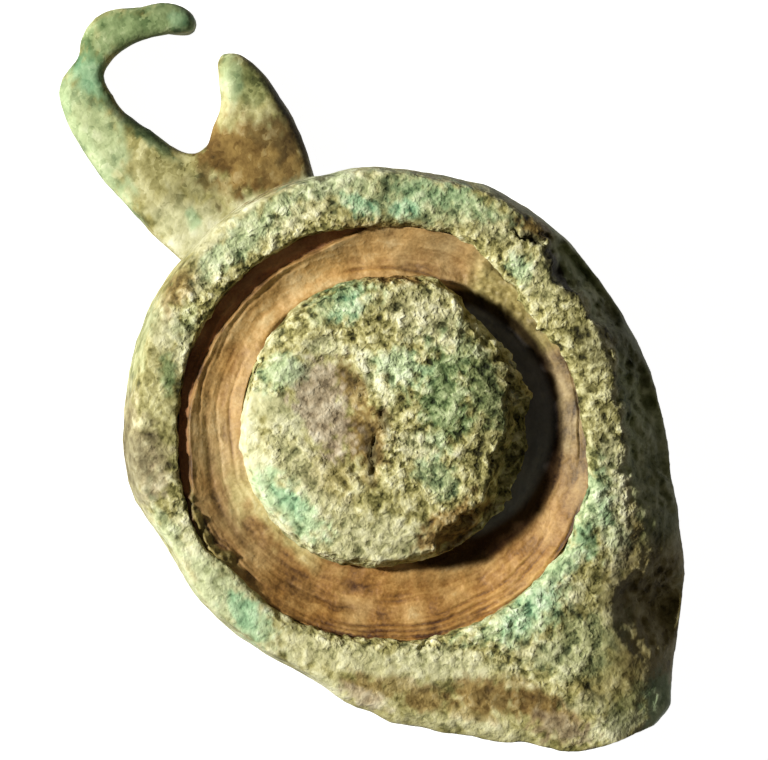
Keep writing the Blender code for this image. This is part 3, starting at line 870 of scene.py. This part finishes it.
@dataclass
class Casting:
    """The bronze casting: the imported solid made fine, then broken, roughened and stained.

    Args:
        node_name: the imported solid's name.
        voxel: the mesh's fineness on the hidden sides. The face that shows is twice as fine.
        boss_radius, boss_x, boss_y: the boss's size and its middle.
        cell_radius, cell_floor: the ring cell's wall and the height of its floor.
        buried: the height under which the enamel hides the cell.
        enamel_top: how high the enamel stands beside the boss.
        head_back, shown_from, face: the heights of the head's back, of the lowest skin that shows and of the
            head's face.
        corner_turn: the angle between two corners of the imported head's outline.
        undercut: how far the eye's wall is cut in under its edge, which keeps it out of sight.
        smooth_passes: how often the fine mesh is smoothed, which takes the voxels' steps out.
        waver: how the cell's wall and the boss's edge wander.
        jag: how the boss's right edge is jagged.
        tear, tear_px: how broken edges wander across and down from their tables, and how far, in pixels.
        swell, lump, grain, grit: the crust's own forms, from the largest to the smallest.
        fray: how the tones' edges wander.
        lump_mm, grain_mm: how high the lumps and the grain stand on smooth skin, and what roughness adds.
        grit_mm: how high the grit stands where the crust is rough and faces up.
        cavity_gain: how fast the share that the finish shades grows with a pit's depth.
        break_cavity, flank_cavity: what a fresh break adds to that share, and what the flank takes off it.
    """

    node_name: str = "cast_fastener"
    voxel: float = 0.236
    boss_radius: float = 6.5
    boss_x: float = 0.15
    boss_y: float = 0.45
    cell_radius: float = 9.35
    cell_floor: float = 9.0
    buried: float = 9.6
    enamel_top: float = 10.25
    head_back: float = 7.0
    shown_from: float = 8.6
    face: float = VIEW.face
    corner_turn: float = 3.75
    undercut: float = 0.35
    smooth_passes: int = 2
    waver: tuple[Noise, ...] = (Noise(0.9, 2, 31, 0.09), Noise(0.4, 2, 32, 0.07))
    jag: Noise = Noise(0.8, 3, 33, 0.35)
    tear: tuple[Noise, ...] = (Noise(0.55, 3, 41), Noise(0.55, 3, 42))
    tear_px: float = 6.0
    swell: Noise = Noise(3.0, 2, 1, 0.09)
    lump: Noise = Noise(0.95, 2, 2)
    grain: Noise = Noise(0.42, 2, 3)
    grit: Noise = Noise(0.21, 1, 4)
    fray: tuple[Noise, ...] = (Noise(1.2, 4, 11, 0.45), Noise(0.34, 2, 12, 0.55))
    lump_mm: tuple[float, float] = (0.035, 0.045)
    grain_mm: tuple[float, float] = (0.015, 0.08)
    grit_mm: float = 0.05
    cavity_gain: float = 5.0
    break_cavity: float = 0.06
    flank_cavity: float = 0.2
    # Each point's place, its pixels in the photograph, and how far it is on the broken flank
    points: np.ndarray = field(init=False)
    spots: np.ndarray = field(init=False)
    aside: np.ndarray = field(init=False)

    def fine_mesh(self, node: bpy.types.Object) -> bpy.types.Mesh:
        """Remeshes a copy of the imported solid, in millimetres, and halves the faces that show.

        Args:
            node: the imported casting.

        Returns:
            The fine mesh.
        """
        mesh = node.data.copy()
        mesh.materials.clear()
        mesh.transform(Matrix.Scale(1 / MM, 4))
        source = new_object("casting_source", mesh)
        remesh = source.modifiers.new("Fine", "REMESH")
        remesh.mode = "VOXEL"
        remesh.voxel_size = self.voxel
        remesh.adaptivity = 0.0
        bpy.context.view_layer.update()
        graph = bpy.context.evaluated_depsgraph_get()
        fine = bpy.data.meshes.new_from_object(source.evaluated_get(graph))
        bpy.data.objects.remove(source)
        bpy.data.meshes.remove(mesh)

        shape = bmesh.new()
        shape.from_mesh(fine)
        shown = []
        for face in shape.faces:
            centre = face.calc_center_median()
            in_cell = math.hypot(centre.x, centre.y) < self.cell_radius + self.voxel
            if centre.z > self.shown_from and not (in_cell and centre.z < self.buried):
                shown.append(face)
        edges = list({edge for face in shown for edge in face.edges})
        bmesh.ops.subdivide_edges(shape, edges=edges, cuts=1, use_grid_fill=True)
        for _ in range(self.smooth_passes):
            bmesh.ops.smooth_vert(
                shape, verts=shape.verts, factor=0.5, use_axis_x=True, use_axis_y=True, use_axis_z=True
            )
        shape.to_mesh(fine)
        shape.free()
        fine.name = "bronze_casting"
        return fine

    def reach(self, node: bpy.types.Object) -> np.ndarray:
        """How far the head reaches from its middle in each point's direction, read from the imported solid.

        Args:
            node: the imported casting.

        Returns:
            One distance for each point.
        """
        solid = read_rows(node.data, "co") / MM
        head = solid[solid[:, 2] > self.head_back + 0.1]
        bearing = np.degrees(np.arctan2(head[:, 0], -head[:, 1]))
        away = np.hypot(head[:, 0], head[:, 1])
        # The window round each corner reaches a little over half way to the next
        steps = np.arange(-180, 181, self.corner_turn)
        near = self.corner_turn / 2 + 0.025
        furthest = [away[np.abs((bearing - step + 180) % 360 - 180) < near].max() for step in steps]
        own = np.degrees(np.arctan2(self.points[:, 0], -self.points[:, 1]))
        return np.interp(own, steps, furthest)

    def radius(self) -> np.ndarray:
        """How far each point lies from the head's middle, seen from above."""
        return np.hypot(self.points[:, 0], self.points[:, 1])

    def upper(self) -> np.ndarray:
        """How far each point is in the part of the head that shows, from 0 to 1."""
        return smooth_step(self.shown_from - 0.6, self.shown_from, self.points[:, 2])

    def from_boss(self) -> tuple[np.ndarray, np.ndarray]:
        """How far each point lies from the boss's middle, along x and y."""
        return self.points[:, 0] - self.boss_x, self.points[:, 1] - self.boss_y

    def shift_rim(self, inside: np.ndarray, wander: np.ndarray) -> np.ndarray:
        """Where the outline, the face's edge and the cell's wall with its lip move.

        Args:
            inside: how far each point lies inside the head's outline.
            wander: how the wall wavers at each point.

        Returns:
            Rows of x, y, z to add to the points.
        """
        # Every shift fades out within about a millimetre of its edge
        x, y, z = self.points.T
        radius = self.radius()
        angle = VIEW.angle(x, y)
        skin = smooth_step(1.2, 0.2, inside) * smooth_step(self.head_back - 0.3, self.head_back + 0.3, z)
        outward = around(OUTLINE_SHIFT, angle) * skin
        near_wall = smooth_step(1.0, 0.2, np.abs(radius - self.cell_radius - 0.2))
        near_wall *= smooth_step(self.cell_floor + 0.1, self.cell_floor + 0.5, z)
        outward += (around(WALL_SHIFT, angle) + wander) * near_wall
        lip = smooth_step(self.enamel_top + 0.45, self.enamel_top + 0.75, z)
        lip *= smooth_step(1.2, 0.1, np.abs(radius - self.cell_radius))
        outward -= around(LIP_SPILL, angle) * (1 + 4 * wander) * lip

        lift = around(EDGE_LIFT, angle) * smooth_step(0.0, 0.3, inside) * self.upper()
        lift *= radius > self.cell_radius + 1
        on_lip = smooth_step(self.cell_radius - 0.05, self.cell_radius + 0.05, radius)
        on_lip *= (radius < self.cell_radius + 1) * (z > self.face - 0.7)
        lift += 0.8 * on_lip * window(90, 105, 220, 235, angle)
        outward /= np.maximum(radius, 0.1)
        return np.stack([outward * x, outward * y, lift * np.maximum(self.face - z, 0.0)], axis=1)

    def shift_boss(self, wander: np.ndarray) -> np.ndarray:
        """Where the boss's edge moves.

        Args:
            wander: how the edge wavers at each point.

        Returns:
            Rows of x, y, z to add to the points.
        """
        x, y = self.from_boss()
        radius = np.hypot(x, y)
        angle = VIEW.angle(x, y)
        near_edge = smooth_step(1.6, 0.2, np.abs(radius - self.boss_radius))
        near_edge *= smooth_step(self.enamel_top - 0.1, self.enamel_top + 0.3, self.points[:, 2])
        jagged = self.jag.at(self.points) * smooth_step(122, 142, np.abs(angle - 180))
        swell = (around(BOSS_SHIFT, angle) + wander + jagged) * near_edge / np.maximum(radius, 0.1)
        return np.stack([swell * x, swell * y, np.zeros(len(x))], axis=1)

    def widen_eye(self) -> np.ndarray:
        """Where the wall of the loop's eye moves.

        Returns:
            Rows of x, y, z to add to the points.
        """
        z = self.points[:, 2]
        right, up = self.spots[:, 0] - EYE[0], EYE[1] - self.spots[:, 1]
        radius = np.hypot(right, up)
        angle = np.degrees(np.arctan2(up, right)) % 360
        hidden = self.undercut * smooth_step(2.2, 0.6, z) * window(60, 90, 200, 230, angle)
        push = (around(EYE_SHIFT, angle) + hidden) * smooth_step(84, 46, radius) * (z < self.head_back - 3)
        x, y = VIEW.to_object(push * right / (radius + 0.1), push * up / (radius + 0.1))
        return np.stack([x, y, np.zeros(len(z))], axis=1)

    def drop_flank(self, torn: np.ndarray, inside: np.ndarray) -> np.ndarray:
        """How far the surface falls outside the rim's plateau. It also notes which points are on that flank.

        Args:
            torn: the points' pixels, made ragged.
            inside: how far each point lies inside the head's outline.

        Returns:
            The fall at each point.
        """
        down = self.spots[:, 1]
        out = beyond(torn, PLATEAU) / VIEW.pixels_per_mm
        outer = np.maximum(out, 0)
        slope = outer**2 / (outer + read_table(PLATEAU_SHOULDER, down) + 0.001)
        limit = 1.7 + 1.0 * smooth_step(520, 580, down)
        fall = np.clip(self.points[:, 2] - self.face + read_table(PLATEAU_FALL, down) * slope, 0.0, limit)
        self.aside = smooth_step(0.1, 0.5, out) * self.upper() * smooth_step(700, 640, down)
        return fall * smooth_step(0.0, 0.1, out) * self.upper() * smooth_step(0.0, 0.5, inside)

    def break_boss(self, torn: np.ndarray, ragged: np.ndarray, on_boss: np.ndarray) -> np.ndarray:
        """How far the boss's right and lower right edge is broken down. A few flakes stand there yet.

        Args:
            torn: the points' pixels, made ragged.
            ragged: how the flakes' edge wavers at each point.
            on_boss: 1 on the boss and 0 off it.

        Returns:
            The fall at each point, which stops just over the enamel.
        """
        x, y = self.from_boss()
        angle = VIEW.angle(x, y)
        gone = beyond(torn, BOSS_TOP) / VIEW.pixels_per_mm
        # The edge drops by a step and a slope. Both are gentler at the boss's lower right
        lower = smooth_step(495, 530, self.spots[:, 1])
        step = 0.75 * smooth_step(0.0, 0.15 + 0.5 * lower, gone)
        slope = (0.9 - 0.65 * lower) * smooth_step(0.1, 0.8, gone)
        flakes = smooth_step(6.15, 6.35, np.hypot(x, y) + 1.2 * ragged) * window(4, 12, 40, 48, angle)
        scar = (step + slope) * on_boss * (1 - 0.75 * flakes)
        return np.minimum(scar, np.maximum(self.points[:, 2] - self.enamel_top - 0.05, 0.0))

    def open_cracks(self, torn: np.ndarray) -> np.ndarray:
        """How deep the cracks are.

        Args:
            torn: the points' pixels, made ragged.

        Returns:
            The depth at each point.
        """
        depth = np.zeros(len(torn))
        for crack in CRACKS:
            away = line_distance(torn, crack.line) / VIEW.pixels_per_mm
            depth = np.maximum(depth, crack.depth * smooth_step(crack.width, crack.width * 0.25, away))
        return depth * self.upper()

    def break_surface(self, inside: np.ndarray) -> np.ndarray:
        """Drops the flank and the broken side of the boss, and opens the hollow and the cracks.

        Args:
            inside: how far each point lies inside the head's outline.

        Returns:
            How much of each point's surface is freshly broken, from 0 to 1.
        """
        flat = self.points * (1, 1, 0)
        ragged = np.stack([layer.at(flat) for layer in self.tear], axis=1)
        torn = self.spots + self.tear_px * ragged
        on_boss = smooth_step(self.boss_radius + 0.7, self.boss_radius + 0.4, np.hypot(*self.from_boss()))
        flank = self.drop_flank(torn, inside)
        scar = self.break_boss(torn, ragged[:, 0], on_boss)
        in_hollow = smooth_step(-0.04, 0.5, -beyond(torn, HOLLOW) / VIEW.pixels_per_mm) * on_boss
        crack = self.open_cracks(torn)
        self.points[:, 2] -= flank + scar + read_table(HOLLOW_DEPTH, self.spots[:, 0]) * in_hollow + crack
        # A fall of a few tenths of a millimetre counts as fully broken
        return np.clip(flank / 0.5 + scar / 0.8 + crack / 0.3, 0, 1)

    def smoothness(self, inside: np.ndarray, normals: np.ndarray) -> np.ndarray:
        """How smooth the crust is: rough on the head's face, smoother on its side, its back and the loop.

        Args:
            inside: how far each point lies inside the head's outline.
            normals: one row of x, y, z for each point.

        Returns:
            0 where it is rough, to 1 where it is smooth.
        """
        height, upward = self.points[:, 2], normals[:, 2]
        low = smooth_step(self.face - 0.3, self.face - 1.2, height)
        rough = smooth_step(self.head_back - 0.6, self.head_back - 0.1, height)
        rough *= 1 - 0.65 * smooth_step(0.9, 0.1, inside)
        rough *= 1 - 0.6 * smooth_step(-0.3, -0.9, upward)
        rough *= 1 - 0.9 * smooth_step(0.75, 0.35, upward) * low
        rough *= 1 - np.max([patch.cover(self.spots) for patch in CALM], axis=0)
        return 1 - rough * (1 - 0.5 * self.aside)

    def roughen(self, normals: np.ndarray, smooth: np.ndarray) -> np.ndarray:
        """Raises and pits the crust along its normals.

        Args:
            normals: one row of x, y, z for each point.
            smooth: how smooth the surface is at each point, from 0 to 1.

        Returns:
            How deep in a pit each point is, from 0 on the grains through 0.5 to 1.
        """
        # Each layer's height in millimetres has a part for smooth skin and one that roughness adds
        up = smooth_step(0.1, 0.6, normals[:, 2])
        rough = 1 - smooth
        swell, lump, grain, grit = (
            layer.at(self.points) for layer in (self.swell, self.lump, self.grain, self.grit)
        )
        lump_skin, lump_rough = self.lump_mm
        grain_skin, grain_rough = self.grain_mm
        detail = (lump_skin + lump_rough * rough) * lump
        detail += (grain_skin + grain_rough * rough * (0.5 + 0.5 * up)) * grain
        detail += self.grit_mm * rough * up * grit
        self.points += normals * (swell + detail)[:, None]
        return np.clip(0.5 - detail * self.cavity_gain, 0, 1)

    def tones(self) -> dict[Tone, np.ndarray]:
        """How much of each tone each point carries, with ragged edges.

        Returns:
            The tones' shares from 0 to 1.
        """
        ragged = sum(layer.at(self.points) for layer in self.fray)
        shares = {
            tone: np.max([patch.cover(self.spots, ragged) for patch in patches], axis=0)
            for tone, patches in PATCHES.items()
        }
        # Painted shade on the broken flank, patchy in ragged spots, and its upper part is greener
        green = 0.5 * self.aside * smooth_step(560, 520, self.spots[:, 1])
        shares[Tone.DARK] = np.maximum(shares[Tone.DARK], (0.05 + 0.8 * ragged) * self.aside)
        shares[Tone.GREEN] = np.maximum(shares[Tone.GREEN], green)
        return shares

    def build(self, node: bpy.types.Object) -> bpy.types.Object:
        """Makes the casting's visible mesh with its attributes and finish.

        Args:
            node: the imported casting.

        Returns:
            The piece, in metres.
        """
        mesh = self.fine_mesh(node)
        self.points = read_rows(mesh, "co")
        self.spots = VIEW.to_photo(self.points)
        reach = self.reach(node)
        inside = reach - self.radius()
        wander = sum(layer.at(self.points) for layer in self.waver)
        self.points += self.shift_rim(inside, wander) + self.shift_boss(wander) + self.widen_eye()
        self.spots = VIEW.to_photo(self.points)
        broken = self.break_surface(reach - self.radius())
        write_points(mesh, self.points)
        normals = read_rows(mesh, "normal")
        smooth = self.smoothness(inside, normals)
        cavity = self.roughen(normals, smooth)
        cavity += self.break_cavity * broken
        cavity -= self.flank_cavity * self.aside
        self.points[:, 2] = np.maximum(self.points[:, 2], 0.0)
        write_points(mesh, self.points * MM)
        write_attribute(mesh, "smooth", smooth)
        write_attribute(mesh, "cavity", cavity)
        for tone, share in self.tones().items():
            write_attribute(mesh, tone.value, share)
        return add_piece(mesh, CrustFinish().make(), self.node_name)


@dataclass(frozen=True)
class Groove:
    """A groove round the enamel, or a ridge where its depth is negative.

    Args:
        across: how far it lies from the boss to the rim, as a share.
        width: its half width, in millimetres.
        depth: in millimetres.
        start, end: the angles round the ring where it fades in and out.
    """

    across: float
    width: float
    depth: float
    start: float
    end: float

    def fall(self, from_boss: np.ndarray, span: float, angle: np.ndarray) -> np.ndarray:
        """How far the groove lowers the surface.

        Args:
            from_boss: distance from the boss's side.
            span: the enamel's whole width.
            angle: the angle round the ring.

        Returns:
            The fall in height at each point.
        """
        turned = (angle - self.start) % 360
        length = (self.end - self.start) % 360
        along = window(0, 14, length - 14, length, turned) * (turned < length)
        return self.depth * along * np.exp(-(((from_boss - self.across * span) / self.width) ** 2))


# The grooves, as rows of a Groove's values
GROOVES = tuple(
    Groove(*row)
    for row in (
        (0.83, 0.08, -0.06, 135, 205), (0.67, 0.07, 0.06, 148, 182), (0.57, 0.15, 0.06, 166, 218),
        (0.40, 0.06, 0.03, 150, 225), (0.20, 0.07, 0.06, 145, 200), (0.84, 0.05, 0.07, 196, 238),
        (0.77, 0.05, 0.06, 198, 232), (0.27, 0.10, 0.10, 58, 110), (0.83, 0.05, 0.09, 248, 330),
        (0.90, 0.05, 0.07, 240, 322), (0.74, 0.04, 0.07, 275, 335), (0.50, 0.10, 0.06, 258, 285),
        (0.60, 0.06, 0.05, 225, 262), (0.04, 0.14, 0.20, 55, 150), (0.84, 0.05, 0.14, 345, 62),
        (0.63, 0.13, 0.07, 248, 270), (0.97, 0.07, 0.12, 240, 345), (0.60, 0.08, 0.05, 104, 165),
    )
)
# How far the middle of the enamel's dish lies over its usual height: (angle round the ring, millimetres)
DISH_LIFT = (
    (0, -0.20), (40, -0.20), (58, 0.0), (100, 0.0), (125, 0.15), (145, 0.45), (165, 0.65), (205, 0.65),
    (222, 0.40), (245, 0.0), (282, 0.0), (302, -0.30), (345, -0.32),
)
# How high the enamel stands over its dish at the rim: (angle round the ring, millimetres)
OUTER_RISE = (
    (0, 0.80), (40, 1.00), (60, 0.85), (75, 0.85), (95, 0.70), (110, 0.62), (125, 0.55), (145, 0.40),
    (160, 0.42), (170, 0.50), (205, 0.52), (225, 0.60), (240, 0.85), (280, 0.70), (320, 0.82),
)
# The enamel's share of warm brown, and how much darker it is: (angle round the ring, share)
WARMTH = (
    (0, 0.05), (40, 0.15), (70, 0.45), (95, 0.70), (125, 0.7), (180, 0.5), (215, 0.4), (245, 0.85),
    (300, 0.95), (325, 0.9), (345, 0.5),
)
GLOOM = (
    (0, 1.0), (25, 1.0), (45, 0.70), (58, 0.60), (66, 0.38), (75, 0.38), (90, 0.24), (100, 0.04),
    (140, 0.0), (152, 0.18), (190, 0.34), (222, 0.68), (245, 0.74), (262, 0.68), (290, 0.52), (330, 0.54),
)
# How wide the dark gap between the enamel and the cell's wall is: (angle round the ring, millimetres)
GAP_WIDTH = (
    (94, 0.0), (100, 0.34), (105, 0.60), (110, 0.82), (140, 0.88), (150, 0.80), (160, 0.68), (170, 0.50),
    (190, 0.50), (197, 0.30), (203, 0.15), (214, 0.10), (218, 0.0),
)
# How far the boss's painted shadow reaches over the enamel, and how far its grey core does:
# (angle round the ring, millimetres)
BOSS_SHADOW_REACH = (
    (0, 1.62), (20, 1.60), (30, 1.60), (40, 1.45), (50, 1.10), (60, 0.90), (66, 0.55), (74, 0.0),
    (276, 0.0), (287, 0.35), (295, 0.65), (303, 0.95), (310, 1.18), (320, 1.35), (330, 1.48), (340, 1.58),
    (350, 1.62),
)
SHADOW_CORE_REACH = (
    (0, 1.25), (10, 1.30), (20, 1.22), (30, 1.00), (40, 0.75), (51, 0.50), (58, 0.20), (64, 0.0),
    (305, 0.0), (314, 0.25), (324, 0.50), (332, 0.75), (341, 0.90), (350, 1.05),
)


@dataclass
class EnamelRing:
    """The enamel in the ring cell: a dished ring with worn grooves, half buried in soil at the upper right.

    Args:
        node_name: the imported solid's name.
        inner, inner_x, inner_y: the casting's boss, its radius and its middle.
        outer: the radius of the casting's cell.
        tuck: how far the enamel runs in under the boss's edge.
        base, dish: the heights of its underside and of the middle of its dish.
        inner_rise: how high it stands over its dish beside the boss.
        middle: where the dish is deepest, as a share of the way from the boss to the rim.
        steepness: how sharply the dish turns up at both sides.
        rows, spokes: how many points the mesh has across the ring and round it.
        groove_waver, gap_waver, border_waver: how the grooves, the gap and the crumbs' border wander.
        lumps, grit: the surface's own forms.
        blots: how its stains are mottled.
        lump_mm, grit_mm: how high the lumps and the grit stand.
        crumb_mm: how high the grit stands in the soil at the upper right.
        border_mm, border_grit_mm: how high the crumbs' border stands, and its grit.
        gap_mm, gap_less_mm: how deep the gap is at the upper left, and how much less it is further round.
        full_groove: how deep a groove is that is shaded in full.
    """

    node_name: str = "enamel_ring"
    inner: float = Casting.boss_radius
    inner_x: float = Casting.boss_x
    inner_y: float = Casting.boss_y
    outer: float = Casting.cell_radius
    tuck: float = 0.15
    base: float = 9.3
    dish: float = 10.0
    inner_rise: float = Casting.enamel_top - dish
    middle: float = 0.45
    steepness: float = 1.6
    rows: int = 56
    spokes: int = 620
    groove_waver: Noise = Noise(2.4, 3, 23, 0.12)
    gap_waver: Noise = Noise(0.8, 2, 26, 0.06)
    border_waver: Noise = Noise(0.8, 3, 27, 0.06)
    lumps: Noise = Noise(1.6, 3, 22)
    grit: Noise = Noise(0.35, 2, 24)
    blots: Noise = Noise(1.4, 3, 25)
    lump_mm: float = 0.08
    grit_mm: float = 0.03
    crumb_mm: float = 0.10
    border_mm: float = 0.08
    border_grit_mm: float = 0.25
    gap_mm: float = 0.36
    gap_less_mm: float = 0.14
    full_groove: float = 0.16
    # Each point's place before it is raised, its share of the way from the boss to the rim, and its angle
    flat: np.ndarray = field(init=False)
    across: np.ndarray = field(init=False)
    angle: np.ndarray = field(init=False)

    def lay_out(self) -> None:
        """Places the points of the top, still flat, in rows from the boss's side to the cell's wall."""
        spin = np.repeat(np.linspace(0, 2 * math.pi, self.spokes, endpoint=False), self.rows)
        self.across = np.tile(np.linspace(0, 1, self.rows), self.spokes)
        wall = self.outer + np.maximum(around(WALL_SHIFT, VIEW.angle(np.sin(spin), -np.cos(spin))), 0)
        inner = self.inner - self.tuck
        radius = inner + (wall - inner) * self.across
        x = radius * np.sin(spin) + (1 - self.across) * self.inner_x
        y = -radius * np.cos(spin) + (1 - self.across) * self.inner_y
        self.flat = np.stack([x, y, np.zeros(len(spin))], axis=1)
        self.angle = VIEW.angle(x, y)

    def gap(self, less: float) -> np.ndarray:
        """How far each point lies in the dark gap beside the cell's wall.

        Args:
            less: how much narrower the gap is taken, in millimetres.

        Returns:
            The share of the gap at each point, from 0 to 1.
        """
        width = around(GAP_WIDTH, self.angle)
        width += self.gap_waver.at(self.flat) * (width > 0.05)
        from_wall = (1 - self.across) * (self.outer - self.inner)
        return smooth_step(width - less + 0.07, width - less - 0.07, from_wall) * (width > 0.05)

    def border(self) -> np.ndarray:
        """How much of each point lies under the dark crumbs at the rim's lower left, from 0 to 1."""
        edge = 0.85 + self.border_waver.at(self.flat)
        return smooth_step(edge - 0.02, edge + 0.02, self.across) * window(194, 199, 218, 224, self.angle)

    def beside_boss(self, reach: Table) -> np.ndarray:
        """How much of the boss's painted shadow lies on each point.

        Args:
            reach: how far it reaches, as (angle round the ring, millimetres).

        Returns:
            The share of it at each point, from 0 to 1.
        """
        width = around(reach, self.angle)
        from_boss = self.across * (self.outer - self.inner)
        return smooth_step(width + 0.30, width - 0.15, from_boss) * smooth_step(0.0, 0.3, width)

    def surface(self) -> tuple[np.ndarray, np.ndarray]:
        """Works out the top of the enamel.

        Returns:
            The height, and how deep in a groove each point is, from 0 to 1.
        """
        span = self.outer - self.inner
        from_boss = self.across * span + self.groove_waver.at(self.flat)
        way = np.minimum(self.across / (1 - around(GAP_WIDTH, self.angle) / span), 1.0)
        near_boss = way < self.middle
        rise = np.where(near_boss, self.inner_rise, around(OUTER_RISE, self.angle))
        side = np.where(near_boss, self.middle, 1 - self.middle)
        rise *= (np.abs(way - self.middle) / side) ** self.steepness
        fall = sum(groove.fall(from_boss, span, self.angle) for groove in GROOVES)
        lumps, grit = self.lumps.at(self.flat), self.grit.at(self.flat)
        crumbs = self.crumb_mm * grit * window(30, 44, 55, 72, self.angle)
        crumbs += (self.border_mm + self.border_grit_mm * grit) * self.border()
        gap = (self.gap_mm - self.gap_less_mm * smooth_step(160, 175, self.angle)) * self.gap(0.0)
        height = self.dish + around(DISH_LIFT, self.angle) + rise - fall - gap
        height += self.lump_mm * lumps
        height += self.grit_mm * grit
        return height + crumbs, np.clip(fall / self.full_groove - 0.4 * lumps, 0, 1)

    def stains(self, groove: np.ndarray) -> dict[str, np.ndarray]:
        """How much the enamel is darkened, stained and painted with shade.

        Args:
            groove: how deep in a groove each point is.

        Returns:
            One share for each point, under the name of its mesh attribute.
        """
        blots = self.blots.at(self.flat)
        mottled = self.across + 0.3 * blots
        border = self.border()
        gap = self.gap(0.08)
        # Painted shade on the lit step at the gap's inner edge, together with the crumbs' darker border
        line = np.maximum(border, self.gap(-0.08) * (1 - gap))
        crumbs = smooth_step(0.42, 0.18, mottled) * window(184, 205, 232, 250, self.angle)
        earth = window(24, 30, 56, 66, self.angle) * smooth_step(0.10, 0.30, mottled)
        gloom = around(GLOOM, self.angle) * (0.8 + 0.6 * blots) * (1 - crumbs)
        # Painted shade in the gap at the left, where the rim's shadow falls
        left_gap_shade = 0.4 * gap * window(120, 165, 200, 215, self.angle)
        # The groove's darkening also carries the darker angles, the crumbs' border and the painted shade on
        # the gap's inner edge. The shade entry is painted shade: the fringe of the boss's shadow and the gap
        # at the left; the last entry is the painted grey core of the boss's shadow
        return {
            "groove": groove + gloom + 0.8 * line,
            Stain.WARM.value: around(WARMTH, self.angle) + 0.3 * blots,
            Stain.SOIL.value: np.max([earth, 0.9 * crumbs, border], axis=0),
            Stain.RUST.value: 0.95 * gap,
            Stain.SHADE.value: np.maximum(0.92 * self.beside_boss(BOSS_SHADOW_REACH), left_gap_shade),
            Stain.SOOT.value: self.beside_boss(SHADOW_CORE_REACH),
        }

    def closed_mesh(self, height: np.ndarray) -> bpy.types.Mesh:
        """Makes the ring's mesh, closed by two plain sides and a flat underside.

        Args:
            height: the top's height at each point.

        Returns:
            The mesh, in metres.
        """
        top = self.flat.copy()
        top[:, 2] = height
        mesh = bpy.data.meshes.new("enamel_lining")
        shape = bmesh.new()
        rings = []
        for row in top.reshape(self.spokes, self.rows, 3):
            below = ((*end[:2], self.base) for end in (row[-1], row[0]))
            rings.append([shape.verts.new(point) for point in (*row, *below)])
        for ring, following in zip(rings, rings[1:] + rings[:1]):
            for corners in zip(ring, following, following[1:] + following[:1], ring[1:] + ring[:1]):
                shape.faces.new(corners)
        bmesh.ops.recalc_face_normals(shape, faces=shape.faces)
        shape.to_mesh(mesh)
        shape.free()
        mesh.transform(Matrix.Scale(MM, 4))
        return mesh

    def build(self) -> bpy.types.Object:
        """Makes the enamel's visible mesh with its attributes and finish.

        Returns:
            The piece, in metres.
        """
        self.lay_out()
        height, groove = self.surface()
        mesh = self.closed_mesh(height)
        for name, values in self.stains(groove).items():
            padded = np.zeros((self.spokes, self.rows + 2))
            padded[:, : self.rows] = values.reshape(self.spokes, self.rows)
            write_attribute(mesh, name, padded.ravel())
        return add_piece(mesh, EnamelFinish().make(), self.node_name)


@dataclass
class Studio:
    """A plain pale floor, one soft key light from the left and a dim sky.

    The floor glows so that it stays pale in the key's shadow, and throws no light back on the object.
    The light's angle is measured as the photograph shows it. Lengths are in metres.
    """

    floor_half: float = 0.6
    floor_colour: str = "#B8B8B6"
    floor_roughness: float = 0.9
    floor_glow: float = 0.97
    key_angle: float = 168.0
    key_elevation: float = 38.0
    key_distance: float = 0.30
    key_size: float = 0.030
    key_watts: float = 1.35
    key_colour: str = "#FFFDF4"
    sky_colour: str = "#FFF6E6"
    sky_strength: float = 0.09

    def lay_floor(self) -> None:
        """Adds the floor, which glows, with its plain finish."""
        mesh = bpy.data.meshes.new("floor")
        shape = bmesh.new()
        bmesh.ops.create_grid(shape, x_segments=1, y_segments=1, size=self.floor_half)
        shape.to_mesh(mesh)
        shape.free()
        material = bpy.data.materials.new("pale_floor")
        material.use_nodes = True
        tree = material.node_tree
        dress = {
            "Base Color": linear(self.floor_colour),
            "Roughness": self.floor_roughness,
            "Emission Color": linear("#FFFFFF"),
            "Emission Strength": self.floor_glow,
        }
        feed(tree, tree.nodes["Principled BSDF"], dress)
        mesh.materials.append(material)
        floor = new_object("floor", mesh)
        floor.visible_diffuse = False

    def hang_key(self) -> None:
        """Adds the key light, which looks at the object from its angle and elevation."""
        light = bpy.data.lights.new("key", "AREA")
        light.shape = "DISK"
        light.size = self.key_size
        light.energy = self.key_watts
        light.color = linear(self.key_colour)[:3]
        angle = math.radians(self.key_angle + VIEW.turn_degrees)
        elevation = math.radians(self.key_elevation)
        flat = math.cos(elevation)
        direction = Vector((flat * math.cos(angle), flat * math.sin(angle), math.sin(elevation)))
        key = new_object("key", light)
        key.location = direction * self.key_distance
        key.rotation_euler = direction.to_track_quat("Z", "Y").to_euler()

    def build(self) -> None:
        """Adds the floor, the light and the sky, and sets the plain view transform."""
        self.lay_floor()
        self.hang_key()
        world = bpy.data.worlds.new("sky")
        world.use_nodes = True
        sky = {"Color": linear(self.sky_colour), "Strength": self.sky_strength}
        feed(world.node_tree, world.node_tree.nodes["Background"], sky)
        bpy.context.scene.world = world
        bpy.context.scene.view_settings.view_transform = "Standard"


def report(piece: bpy.types.Object) -> None:
    """Logs a piece's name and how many faces it has."""
    LOG.info("%s: %d faces", piece.name, len(piece.data.polygons))


def main() -> None:
    logging.basicConfig(level=logging.INFO)
    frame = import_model()
    VIEW.make_camera()
    Studio().build()
    report(Casting().build(frame["nodes"]["cast_fastener"]))
    report(EnamelRing().build())


if __name__ == "__main__":
    main()
